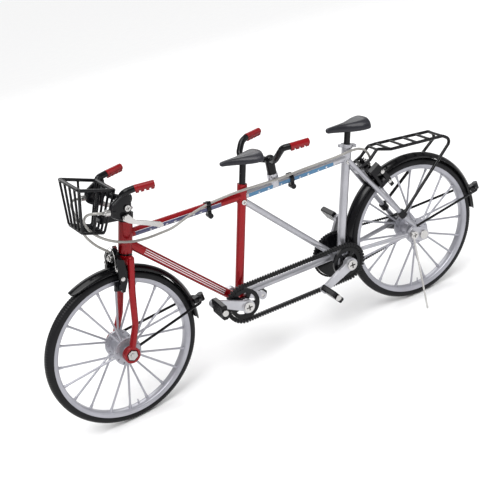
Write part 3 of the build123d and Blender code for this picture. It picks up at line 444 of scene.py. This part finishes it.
def fillet(pts, radii, step=12.0):
    """straight runs joined by arcs, as points"""
    pts = [V(p) for p in pts]
    out = [pts[0]]
    for a, b, c, r in zip(pts, pts[1:], pts[2:], radii):
        u, w = (a - b).normalized(), (c - b).normalized()
        th = math.pi - u.angle(w)
        if th < 1e-4:
            continue
        d = r * math.tan(th / 2)
        p, q = b + u * d, b + w * d
        ctr = b + (u + w).normalized() * (r / math.cos(th / 2))
        n = max(2, int(math.degrees(th) / step) + 1)
        v0 = (p - ctr)
        ax = (p - ctr).cross(q - ctr).normalized()
        for i in range(n + 1):
            out.append(ctr + Matrix.Rotation(th * i / n, 3, ax) @ v0)
    out.append(pts[-1])
    return out


def route(pts):
    pts = [V(p) for p in pts]
    rr = []
    for a, b, c in zip(pts, pts[1:], pts[2:]):
        u, w = (b - a), (c - b)
        rr.append(0.45 * min(u.length, w.length) / math.tan(u.angle(w) / 2))
    return rr


def densify(pts, step):
    pts = [V(p) for p in pts]
    out = [pts[0]]
    for a, b in zip(pts, pts[1:]):
        n = max(1, int((b - a).length / step))
        for i in range(1, n + 1):
            out.append(a + (b - a) * (i / n))
    return out


def lerp_table(tab, t):
    for (a, x), (b, y) in zip(tab, tab[1:]):
        if t <= b:
            k = (t - a) / (b - a) if b > a else 0
            return x + (y - x) * k
    return tab[-1][1]


def smooth_table(tab, n=200):
    """softened copy of a table, ends kept"""
    ys = [lerp_table(tab, i / n) for i in range(n + 1)]
    for _ in range(40):
        ys = [ys[0]] + [(ys[i - 1] + 2 * ys[i] + ys[i + 1]) / 4 for i in range(1, n)] + [ys[-1]]
    return [(i / n, y) for i, y in enumerate(ys)]


# ------------------------------------------------------------------ tyres, rims, hubs, spokes
def wheel(prefix, c, M, body):
    # tyre: round section; fine ribs across the tread
    prof = []
    for i in range(25):
        a = math.radians(-118 + 236 * i / 24)
        y = 2.4 * math.copysign(abs(math.sin(a)) ** 0.85, math.sin(a))
        r = 32.75 + 2.25 * math.copysign(abs(math.cos(a)) ** 0.8, math.cos(a))
        prof.append((r, y))
    prof = [(31.1, -1.66)] + prof + [(31.1, 1.66)]
    t = Piece()
    ribs, per = 190, 4
    n = ribs * per
    rings = []
    for i in range(n):
        th = 2 * math.pi * i / n
        d = Vector((math.cos(th), 0, math.sin(th)))
        ring = []
        for r, y in prof:
            ph = (i % per)
            cut = 0.0
            if r > 32.9:
                k = min(1.0, (r - 32.9) / 0.5)
                # two rows of lugs, one half a step on from the other, with a groove between
                shift = 0 if y > 0 else per // 2
                cut = 0.17 * k if ((ph + shift) % per) == 0 else 0.0
                if abs(y) < 0.16:
                    cut = 0.14
            ring.append(c + d * (r - cut) + YY * y)
        rings.append(ring)
    t.rings(rings, closed=True)
    t.make(prefix + "_tyre_body", M, TYRE, body, [prefix + "_tyre"], "tyre", smooth=50)
    # rim: a trough with rounded shoulders and a small bead at each edge
    r = Piece()
    rp = [(32.12, 2.28), (31.75, 2.3), (31.5, 2.16), (31.1, 2.2), (30.5, 2.16), (30.05, 1.9), (29.72, 1.4), (29.6, 0.7), (29.6, -0.7), (29.72, -1.4), (30.05, -1.9),
          (30.5, -2.16), (31.1, -2.2), (31.5, -2.16), (31.75, -2.3), (32.12, -2.28), (32.14, -1.75), (31.1, -1.7), (31.0, -1.4), (31.0, 1.4), (31.1, 1.7), (32.14, 1.75)]
    r.lathe(c, YY, Vector((1, 0, 0)), rp, n=180)
    # valve
    r.turned(c + Vector((0, 0, -29.7)), Vector((0, 0, 1)), [(0.0, 0.0), (0.42, 0.0), (0.42, 1.2), (0.3, 1.3), (0.3, 2.3), (0.0, 2.35)], 16)
    r.make(prefix + "_rim_body", M, WHEEL, body, [prefix + "_rim"], "wheel_plastic", smooth=40)
    # spokes with nipples at the rim and a foot on the hub flange
    s = Piece()
    for k in range(10):
        sd = 1 if k % 2 == 0 else -1
        for d in (-9, 9):
            a0 = math.radians(36 * k + d * 0.45)
            a1 = math.radians(36 * k + d)
            p = c + Vector((5.3 * math.cos(a0), sd * 4.55, 5.3 * math.sin(a0)))
            q = c + Vector((29.75 * math.cos(a1), sd * 0.7, 29.75 * math.sin(a1)))
            e = (q - p)
            ts = [0, 0.03, 0.05, 0.2, 0.5, 0.8, 0.925, 0.93, 0.945, 0.965, 0.985, 1.0]
            rd = [0.6, 0.6, 0.5, 0.48, 0.47, 0.47, 0.48, 0.62, 0.64, 0.62, 0.68, 0.72]
            s.sweep([p + e * t_ for t_ in ts], rd, n=12, round_ends=False)
    s.make(prefix + "_spoke_set", M, WHEEL, body, [prefix + "_spokes"], "wheel_plastic", smooth=40)


wheel("front", FAXLE, M_S, "front_wheel")
wheel("rear", RAXLE, M_U, "rear_wheel")


# ------------------------------------------------------------------ mudguards
def guard(name, node, c, a0, a1, M, body, extra, taper=(9, 9)):
    g = Piece()
    n = 110
    rings = []
    for i in range(n + 1):
        th = a0 + (a1 - a0) * i / n
        e0, e1 = (th - a0) / taper[0], (a1 - th) / taper[1]
        w = 1.0
        for e in (e0, e1):
            if e < 1:
                w = min(w, 0.5 + 0.5 * math.sqrt(max(0.0, 1 - (1 - e) ** 2)))
        a = math.radians(th)
        d = Vector((math.cos(a), 0, math.sin(a)))
        outer, inner = [], []
        for j in range(15):
            p = -1 + 2 * j / 14
            y = 3.28 * w * math.sin(p * 1.25) / math.sin(1.25)
            rr = 37.5 - 1.8 * (abs(y) / 3.28) ** 2.1
            outer.append((rr, y))
            inner.append((rr - 0.42, y * 0.93))
        # rolled edges
        outer[7] = (outer[7][0], outer[7][1])
        outer[0] = (outer[0][0] - 0.12, outer[0][1])
        outer[14] = (outer[14][0] - 0.12, outer[14][1])
        ring = [c + d * r_ + YY * y for r_, y in outer] + [c + d * r_ + YY * y for r_, y in reversed(inner)]
        rings.append(ring)
    g.rings(rings)
    for b in extra:
        g.bar(*b)
    g.make(name, M, BLACK, body, [node], "black_plastic", smooth=40)


guard("front_mudguard_shell", "front_mudguard", FAXLE, 64.8, 184.0, M_S, "steering", [(st(0, 0, 37.15), st(0, 0, 39.3), 3.0, 2.4, YY)], (17, 7))
guard("rear_mudguard_shell", "rear_mudguard", RAXLE, 9.5, 183.5, M_U, "frame", [(RAXLE + BN * 37.15 - BT * 1.5, RAXLE + BN * 43.4 - BT * 1.5, 1.6, 1.2, YY)], (6, 8))


# ------------------------------------------------------------------ saddles
def saddle(name, node, nose, tail, zb, zt, hw, M, body):
    """moulded cover: level top, skirt deep at the back and shallow at the nose, tail swept up"""
    L, H = nose - tail - 0.8, zt - zb
    half = smooth_table([(0.0, 0.85), (0.03, 1.05), (0.08, 1.2), (0.25, 1.85), (0.45, 3.05), (0.62, 5.1), (0.75, 6.7), (0.86, hw), (0.93, hw * 0.96), (0.975, hw * 0.85), (1.0, hw * 0.74)])
    top = smooth_table([(0.0, 0.93), (0.06, 0.985), (0.5, 0.95), (0.8, 0.985), (0.93, 1.0), (1.0, 0.93)])
    bot = smooth_table([(0.0, 0.5), (0.12, 0.42), (0.3, 0.24), (0.5, 0.06), (0.65, 0.0), (0.88, 0.0), (0.95, 0.08), (1.0, 0.3)])
    s = Piece()
    rings = []
    n, k = 64, 48
    for i in range(n + 1):
        u = 0.5 - 0.5 * math.cos(math.pi * i / n)
        e = min(u * L / 0.95, (1 - u) * L / 2.6, 1.0)
        endk = math.sqrt(max(0.0, 1 - (1 - e) ** 2))
        w = max(0.02, lerp_table(half, u) * endk)
        zt_, zb_ = zb + H * lerp_table(top, u), zb + H * lerp_table(bot, u)
        mid = zb_ + (zt_ - zb_) * 0.62
        zt_, zb_ = mid + (zt_ - mid) * (0.25 + 0.75 * endk), mid + (zb_ - mid) * (0.25 + 0.75 * endk)
        zc = zb_ + (zt_ - zb_) * 0.3
        x = nose - L * u
        ring = []
        for j in range(k):
            a = 2 * math.pi * j / k
            ca, sa = math.cos(a), math.sin(a)
            if sa >= 0:
                y = w * math.copysign(abs(ca) ** 0.72, ca) * (1 - 0.1 * sa)
                z = zc + (zt_ - zc) * abs(sa) ** 0.78
                z -= 0.1 * H * math.exp(-(y / (0.3 * w + 0.3)) ** 2) * max(0.0, math.sin(math.pi * min(1, max(0, (u - 0.3) / 0.7)))) * endk
            else:
                y = w * math.copysign(abs(ca) ** 0.4, ca)
                z = zc - (zc - zb_) * abs(sa) ** 0.35
            ring.append(Vector((x, y, z)))
        rings.append(ring)
    s.rings(rings)
    # clamp block under the cover
    s.bar(Vector((nose - L * 0.62, 0, zb + H * 0.18)), Vector((nose - L * 0.78, 0, zb + H * 0.12)), 3.4, 1.0, (0, 0, 1), 0.3)
    s.make(name, M, SADDLE, body, [node], "saddle_plastic", smooth=60)


saddle("front_saddle_cover", "front_saddle", 14.2, -6.2, 95.4, 99.3, 7.1, M_U, "saddle_front")
saddle("rear_saddle_cover", "rear_saddle", -38.4, -60.4, 92.9, 97.6, 7.2, M_U, "saddle_rear")


# ------------------------------------------------------------------ chains
def chain(name, node, c1, r1, c2, r2, t, y0, y1, pitch):
    base = math.atan2(c2.z - c1.z, c2.x - c1.x)
    L = math.hypot(c2.x - c1.x, c2.z - c1.z)
    th = math.acos((r1 - r2) / L)
    segs = []

    def at(c, r, a):
        return Vector((c.x + r * math.cos(a), 0, c.z + r * math.sin(a)))
    # centre line: round c1 the far way, along, round c2, back
    path, nrm = [], []
    a_s, a_e = base + th, base + 2 * math.pi - th
    n1 = 300
    for i in range(n1):
        a = a_s + (a_e - a_s) * i / n1
        path.append(at(c1, r1, a))
        nrm.append(Vector((math.cos(a), 0, math.sin(a))))
    p, q = at(c1, r1, base - th), at(c2, r2, base - th)
    for i in range(400):
        path.append(p + (q - p) * (i / 400))
        nrm.append(Vector((math.cos(base - th), 0, math.sin(base - th))))
    for i in range(n1):
        a = base - th + 2 * th * i / n1
        path.append(at(c2, r2, a))
        nrm.append(Vector((math.cos(a), 0, math.sin(a))))
    p, q = at(c2, r2, base + th), at(c1, r1, base + th)
    for i in range(400):
        path.append(p + (q - p) * (i / 400))
        nrm.append(Vector((math.cos(base + th), 0, math.sin(base + th))))
    cum = [0.0]
    for a, b in zip(path, path[1:] + path[:1]):
        cum.append(cum[-1] + (b - a).length)
    total = cum[-1]
    links = int(total / pitch)
    per = 6
    m = links * per
    rings = []
    j = 0
    ym, hw = (y0 + y1) / 2, abs(y1 - y0) / 2
    for i in range(m):
        s = total * i / m
        while cum[j + 1] < s:
            j += 1
        k = (s - cum[j]) / (cum[j + 1] - cum[j])
        a, b = path[j], path[(j + 1) % len(path)]
        na, nb = nrm[j], nrm[(j + 1) % len(nrm)]
        p, nn = a + (b - a) * k, (na + (nb - na) * k).normalized()
        ph = i % per
        top = t if ph in (1, 2, 3, 4) else t * 0.62
        low = 0.0 if ph in (1, 2, 3, 4) else 0.18
        w = hw if ph in (1, 2, 3, 4) else hw * 0.8
        c = 0.16
        prof = [(low, -w + c), (low + c, -w), (top - c, -w), (top, -w + c), (top, -0.2), (top - 0.12, 0.0), (top, 0.2), (top, w - c), (top - c, w), (low + c, w), (low, w - c)]
        rings.append([p + nn * h + YY * (ym + y) for h, y in prof])
    g = Piece()
    g.rings(rings, closed=True)
    g.make(name, M_U, RUBBER, "frame", [node], "black_rubber", smooth=30)


chain("timing_chain_links", "timing_chain", BB_F, 7.35, BB_R, 7.35, 1.95, 4.85, 6.6, 1.3)
chain("drive_chain_links", "drive_chain", BB_R, 10.45, RAXLE, 5.65, 1.0, -6.5, -5.3, 1.25)

# ------------------------------------------------------------------ basket
TF, TR = (78.6, 10.0, 112.2), (64.4, 8.7, 106.7)
DF, DR = (81.0, 6.8, 93.9), (72.0, 6.1, 90.2)
RN = Vector((-0.362, 0, 0.932))
bk = Piece()
ring4 = [V(TF), V(TR), my(TR), my(TF)]
cen = sum(ring4, Vector()) / 4


def rounded_loop(corners, r, n=6):
    out = []
    k = len(corners)
    for i in range(k):
        a, b, c = corners[i - 1], corners[i], corners[(i + 1) % k]
        u, w = (a - b).normalized(), (c - b).normalized()
        th = math.pi - u.angle(w)
        d = r * math.tan(th / 2)
        ctr = b + (u + w).normalized() * (r / math.cos(th / 2))
        p = b + u * d
        q = b + w * d
        ax = (p - ctr).cross(q - ctr).normalized()
        for j in range(n + 1):
            out.append(ctr + Matrix.Rotation(th * j / n, 3, ax) @ (p - ctr))
    return out


def band(piece, corners, r, w, h, up):
    pts = rounded_loop([V(p) for p in corners], r)
    up = V(up).normalized()
    rings = []
    for i, p in enumerate(pts):
        t = (pts[(i + 1) % len(pts)] - pts[i - 1]).normalized()
        s = t.cross(up).normalized()
        u = s.cross(t)
        c = min(w, h) * 0.28
        o = [(-w / 2 + c, -h / 2), (w / 2 - c, -h / 2), (w / 2, -h / 2 + c), (w / 2, h / 2 - c), (w / 2 - c, h / 2), (-w / 2 + c, h / 2), (-w / 2, h / 2 - c), (-w / 2, -h / 2 + c)]
        rings.append([p + s * a + u * b for a, b in o])
    piece.rings(rings, closed=True)


band(bk, ring4, 0.9, 1.7, 1.25, RN)
low4 = [V(DF), V(DR), my(DR), my(DF)]
band(bk, low4, 0.9, 1.0, 1.0, RN)
for i in range(5):
    t = i / 4
    f, r_ = mix(TF, my(TF), t), mix(TR, my(TR), t)
    lf, lr = mix(DF, my(DF), t), mix(DR, my(DR), t)
    path = fillet([f, lf, lr, r_], [1.3, 1.3])
    bk.sweep(path, 0.52, n=12, round_ends=False)
for sgn in (1, -1):
    f = (lambda p: V(p)) if sgn > 0 else my
    bk.sweep([f(mix(TF, TR, 0.5)), f(mix(DF, DR, 0.5))], 0.52, n=12, round_ends=False)
bk.make("basket_wire", M_S, BLACK, "steering", ["basket"], "black_plastic", smooth=40)

# ------------------------------------------------------------------ brake lever housings
HOUS = [(59.9, 105.6), (60.7, 98.8), (62.4, 96.4), (64.3, 95.0), (66.8, 95.4), (70.0, 98.2), (69.4, 102.4), (66.6, 104.3), (63.4, 105.6)]


def soft_outline(pts, n=6, inset=0.0):
    """closed curve through the corners"""
    out = []
    k = len(pts)
    for i in range(k):
        p0, p1, p2, p3 = (Vector(pts[(i + j - 1) % k]) for j in range(4))
        for j in range(n):
            t = j / n
            out.append(0.5 * ((2 * p1) + (p2 - p0) * t + (2 * p0 - 5 * p1 + 4 * p2 - p3) * t * t + (3 * p1 - p0 - 3 * p2 + p3) * t ** 3))
    c = sum(out, Vector((0, 0))) / len(out)
    res = []
    for q in out:
        d = (c - q)
        res.append(q + d.normalized() * inset)
    return [(q.x, q.y) for q in res]


hp = Piece()
for sgn in (1, -1):
    o2 = soft_outline(HOUS, 6, 0.28)
    hp.slab(o2, (0, 0, 0), (1, 0, 0), (0, 0, 1), (0, 1, 0), sgn * 10.95, sgn * 13.05, 0.55)
    # raised rim on the outer face
    o3 = soft_outline(HOUS, 6, 0.95)
    rings = []
    for i, q in enumerate(o3):
        a_, b_ = o3[i - 1], o3[(i + 1) % len(o3)]
        t_ = Vector((b_[0] - a_[0], 0, b_[1] - a_[1])).normalized()
        n_ = Vector((t_.z, 0, -t_.x))
        c_ = Vector((q[0], sgn * 12.98, q[1]))
        rings.append([c_ + n_ * (0.32 * math.cos(x)) + YY * (0.3 * math.sin(x)) for x in [math.pi * m / 4 for m in range(8)]])
    hp.rings(rings, closed=True)
    # barrel for the cable end
    hp.turned((67.2, sgn * 12.1, 99.5), Vector((0.97, 0, 0.24)), [(0.0, 0.0), (1.05, 0.0), (1.15, 0.3), (1.15, 1.9), (1.0, 2.2), (0.0, 2.25)], 20)
hp.make("brake_housings_moulded", M_S, BLACK, "steering", ["brake_lever_housings"], "black_plastic", smooth=40)

# ------------------------------------------------------------------ small brake parts: nuts, clamp screws, return springs
def nut(piece, p, axis, r, h):
    p, axis = V(p), V(axis).normalized()
    ref = Vector((0, 1, 0)) if abs(axis.y) < 0.8 else Vector((1, 0, 0))
    e1 = axis.cross(ref).normalized()
    e2 = axis.cross(e1)
    rows = []
    for rr, d in ((r * 0.86, 0), (r, 0.12), (r, h - 0.12), (r * 0.86, h), (r * 0.5, h), (r * 0.5, h + 0.28), (r * 0.3, h + 0.36)):
        rows.append([p + axis * d + (e1 * math.cos(math.pi * i / 3) + e2 * math.sin(math.pi * i / 3)) * rr for i in range(6)])
    piece.rings(rows)


def loc(o, fwd, up, y, h, q):
    return V(o) + YY * y + V(up) * h + V(fwd) * q


nf = Piece()
nut(nf, loc(FO, PF, AX, 0, 0, 3.75), PF, 1.15, 0.75)
nut(nf, loc(FO, PF, AX, 5.5, -3.6, 2.75), PF, 0.9, 0.5)
nut(nf, loc(FO, PF, AX, -5.5, -3.6, 2.75), PF, 0.9, 0.5)
nf.turned(loc(FO, PF, AX, 6.45, -7.4, 0.6), YY, [(0.0, 0.0), (0.95, 0.0), (0.95, 0.3), (0.6, 0.5), (0.0, 0.5)], 18)
nf.turned(loc(FO, PF, AX, -6.45, -7.4, 0.6), -YY, [(0.0, 0.0), (0.95, 0.0), (0.95, 0.3), (0.6, 0.5), (0.0, 0.5)], 18)
sp_pts = [loc(FO, PF, AX, y_, h_, 3.3) for y_, h_ in ((-5.2, -3.6), (-4.6, 0.2), (-2.6, 3.4), (0.0, 4.7), (2.6, 3.4), (4.6, 0.2), (5.2, -3.6))]
nf.sweep(fillet(sp_pts, route(sp_pts), 8.0), 0.17, n=8)
nf.make("front_brake_nuts", M_S, NICKEL, "steering", (), "nickel", smooth=35)
nr = Piece()
nut(nr, loc(FO, PF, AX, 0.5, 4.1, 1.55), AX, 1.0, 0.55)
nr.make("front_brake_red_nut", M_S, GRIP, "front_arm_left", (), "red_satin", smooth=35)
nb = Piece()
nut(nb, loc(RO, BT, BN, 0, 0, 4.55), BT, 1.2, 0.6)
nb.turned(loc(RO, BT, BN, 6.75, -5.4, 4.9), YY, [(0.0, 0.0), (1.0, 0.0), (1.0, 0.3), (0.65, 0.5), (0.0, 0.5)], 18)
nb.turned(loc(RO, BT, BN, 6.3, -12.4, 4.9), YY, [(0.0, 0.0), (0.85, 0.0), (0.85, 0.3), (0.5, 0.5), (0.0, 0.5)], 18)
nb.make("rear_brake_nuts", M_U, NICKEL, "frame", (), "nickel", smooth=35)

# ------------------------------------------------------------------ rear brake cable's free loop, its part near the bars turned by the steering's set angle
loop_pts = [(72.64, 11.9, 100.74), (75.4, 11.0, 101.6), (77.8, 8.4, 101.2), (79.0, 5.9, 98.4), (78.0, 4.9, 94.4), (75.6, 4.7, 90.4), (71.6, 4.8, 86.6)]
ST_ROT = Matrix.Translation(A0) @ Matrix.Rotation(math.radians(6.5), 4, AX) @ Matrix.Translation(-A0)
loop_pts = [ST_ROT @ V(p) for p in loop_pts] + [Vector((66.4, 5.6, 83.6)), Vector((60.6, 5.9, 81.6)), Vector((54.2, 5.6, 80.7)), Vector((48.0, 5.0, 80.6))]
lp = Piece()
lp.sweep(densify(fillet(loop_pts, route(loop_pts), 6.0), 0.8), 0.55, n=16, round_ends=False)
loop = lp.make("rear_cable_loop", M_U, CABLE, None, ["rear_brake_cable_loop"], "cable", smooth=60)
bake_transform(loop)

# ------------------------------------------------------------------ transfers
TT0, TT1 = ax_at(83.4), on_f(81.7)
for side, flip in ((0, 1), (180, -1)):
    tag = "left" if flip > 0 else "right"

    def ang(a):
        return a if flip > 0 else 180 - a
    Piece().patch(TT0, TT1, 1.93, 0.07, 0.80, ang(-62), ang(12), 12, 24).make("transfer_navy_" + tag, M_U, NAVY, "frame", (), None, 60)
    wl = Piece()
    wl.patch(TT0, TT1, 1.95, 0.07, 0.80, ang(13), ang(18), 3, 24)
    wl.make("transfer_line_" + tag, M_U, WHITE, "frame", (), None, 60)
    w = Piece()
    bars_ = [(-0.9, -0.35), (0.5, -0.35), (0.9, 0.35), (-0.5, 0.35)]
    chev = [(-0.9, -0.5), (-0.3, -0.5), (0.3, 0.0), (-0.3, 0.5), (-0.9, 0.5), (-0.3, 0.0)]
    for t_, sh, sz in ((0.2, chev, 0.9), (0.26, bars_, 0.8), (0.33, bars_, 0.8), (0.40, bars_, 0.8), (0.5, chev, 0.8), (0.56, bars_, 0.7), (0.62, bars_, 0.7), (0.70, chev, 0.7)):
        w.mark(TT0, TT1, 1.96, t_, ang(-24), sh, sz, flip)
    w.make("transfer_marks_" + tag, M_U, WHITE, "frame", (), None, 60)
    # three thin lines down the down tube
    D0, D1 = ax_at(80.4), BB_F + Vector((0.6, 0, 0.6))
    w = Piece()
    for a in (34, 9, -16):
        w.patch(D0, D1, 2.035, 0.15, 0.86, ang(a - 4.2), ang(a + 4.2), 3, 24)
    w.make("pinstripes_" + tag, M_U, WHITE, "frame", (), None, 60)
    # pale blue band with stars on the rear top tube
    R0, R1 = Vector((6.5, 0, 81.65)), on_r(81.6)
    for nm, t0, t1 in (("a", 0.035, 0.43), ("b", 0.465, 0.85)):
        Piece().patch(R0, R1, 1.93, t0, t1, ang(-58), ang(14), 12, 12).make("transfer_blue_%s_%s" % (nm, tag), M_U, SKY, "frame", (), None, 60)
    w = Piece()
    star = []
    for i in range(10):
        rr = 1.0 if i % 2 == 0 else 0.42
        star.append((rr * math.sin(math.pi * i / 5), rr * math.cos(math.pi * i / 5)))
    for t_, sz in ((0.13, 0.5), (0.22, 0.7), (0.34, 0.5), (0.52, 0.55), (0.6, 0.75), (0.7, 0.5), (0.78, 0.7), (0.86, 0.5)):
        w.mark(R0, R1, 1.96, t_, ang(-22), star, sz, flip)
    w.make("transfer_stars_" + tag, M_U, WHITE, "frame", (), None, 60)

# ------------------------------------------------------------------ floor, light, camera
floor = Piece()
floor.add([(-40000, -40000, 0), (40000, -40000, 0), (40000, 40000, 0), (-40000, 40000, 0)], [[0, 1, 2, 3]])
FLOOR = surface("floor_pale", (0.92, 0.92, 0.92), (0.9, 0.9, 0.905), (0.6, 0.7), grain=40, bump=0.01, bevel=0.0001)
fo = floor.make("floor", Matrix.Translation((0, 0, -0.00003)) @ Matrix.Scale(0.001, 4), FLOOR)
fo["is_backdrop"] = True

world = bpy.data.worlds.new("studio")
bpy.context.scene.world = world
world.use_nodes = True
world.node_tree.nodes["Background"].inputs["Color"].default_value = (1, 1, 1, 1)
world.node_tree.nodes["Background"].inputs["Strength"].default_value = 0.42


def area(name, pos, target, size, energy, color=(1, 1, 1)):
    l = bpy.data.lights.new(name, "AREA")
    l.shape = "RECTANGLE"
    l.size, l.size_y = size
    l.energy = energy
    l.color = color
    o = bpy.data.objects.new(name, l)
    bpy.context.scene.collection.objects.link(o)
    o.location = pos
    o.rotation_euler = (Vector(target) - Vector(pos)).to_track_quat("-Z", "Y").to_euler()
    return o


sun = bpy.data.lights.new("sky_light", "SUN")
sun.energy = 2.25
sun.angle = math.radians(50)
so = bpy.data.objects.new("sky_light", sun)
bpy.context.scene.collection.objects.link(so)
so.rotation_euler = (Vector((0, 0, 0)) - Vector((0.35, 0.55, 1.6))).to_track_quat("-Z", "Y").to_euler()
area("key", (0.35, 0.55, 0.75), (0, 0, 0.05), (0.5, 0.4), 2.4)
area("fill", (-0.75, 0.45, 0.45), (0, 0, 0.05), (0.5, 0.6), 1.0)
area("rim", (-0.1, -0.7, 0.6), (0, 0, 0.06), (0.8, 0.4), 2.2)

cam_data = bpy.data.cameras.new("camera")
cam = bpy.data.objects.new("camera", cam_data)
bpy.context.scene.collection.objects.link(cam)
cam_data.sensor_width = 36.0
cam_data.lens = 65.56
cam_data.clip_start = 0.005
cam_data.clip_end = 200
r, u, f = Vector((-0.875, 0.430166, -0.221947)), Vector((-0.3457, -0.234186, 0.908649)), Vector((-0.3389, -0.871793, -0.353648))
f.normalize()
r = (r - f * r.dot(f)).normalized()
u = r.cross(f)
cam.matrix_world = Matrix(((r.x, u.x, -f.x, 0.1493006), (r.y, u.y, -f.y, 0.3534271), (r.z, u.z, -f.z, 0.1984978), (0, 0, 0, 1)))
bpy.context.scene.camera = cam
bpy.context.scene.view_settings.view_transform = "Standard"

{"before": size_before, "after": plain(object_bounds())}
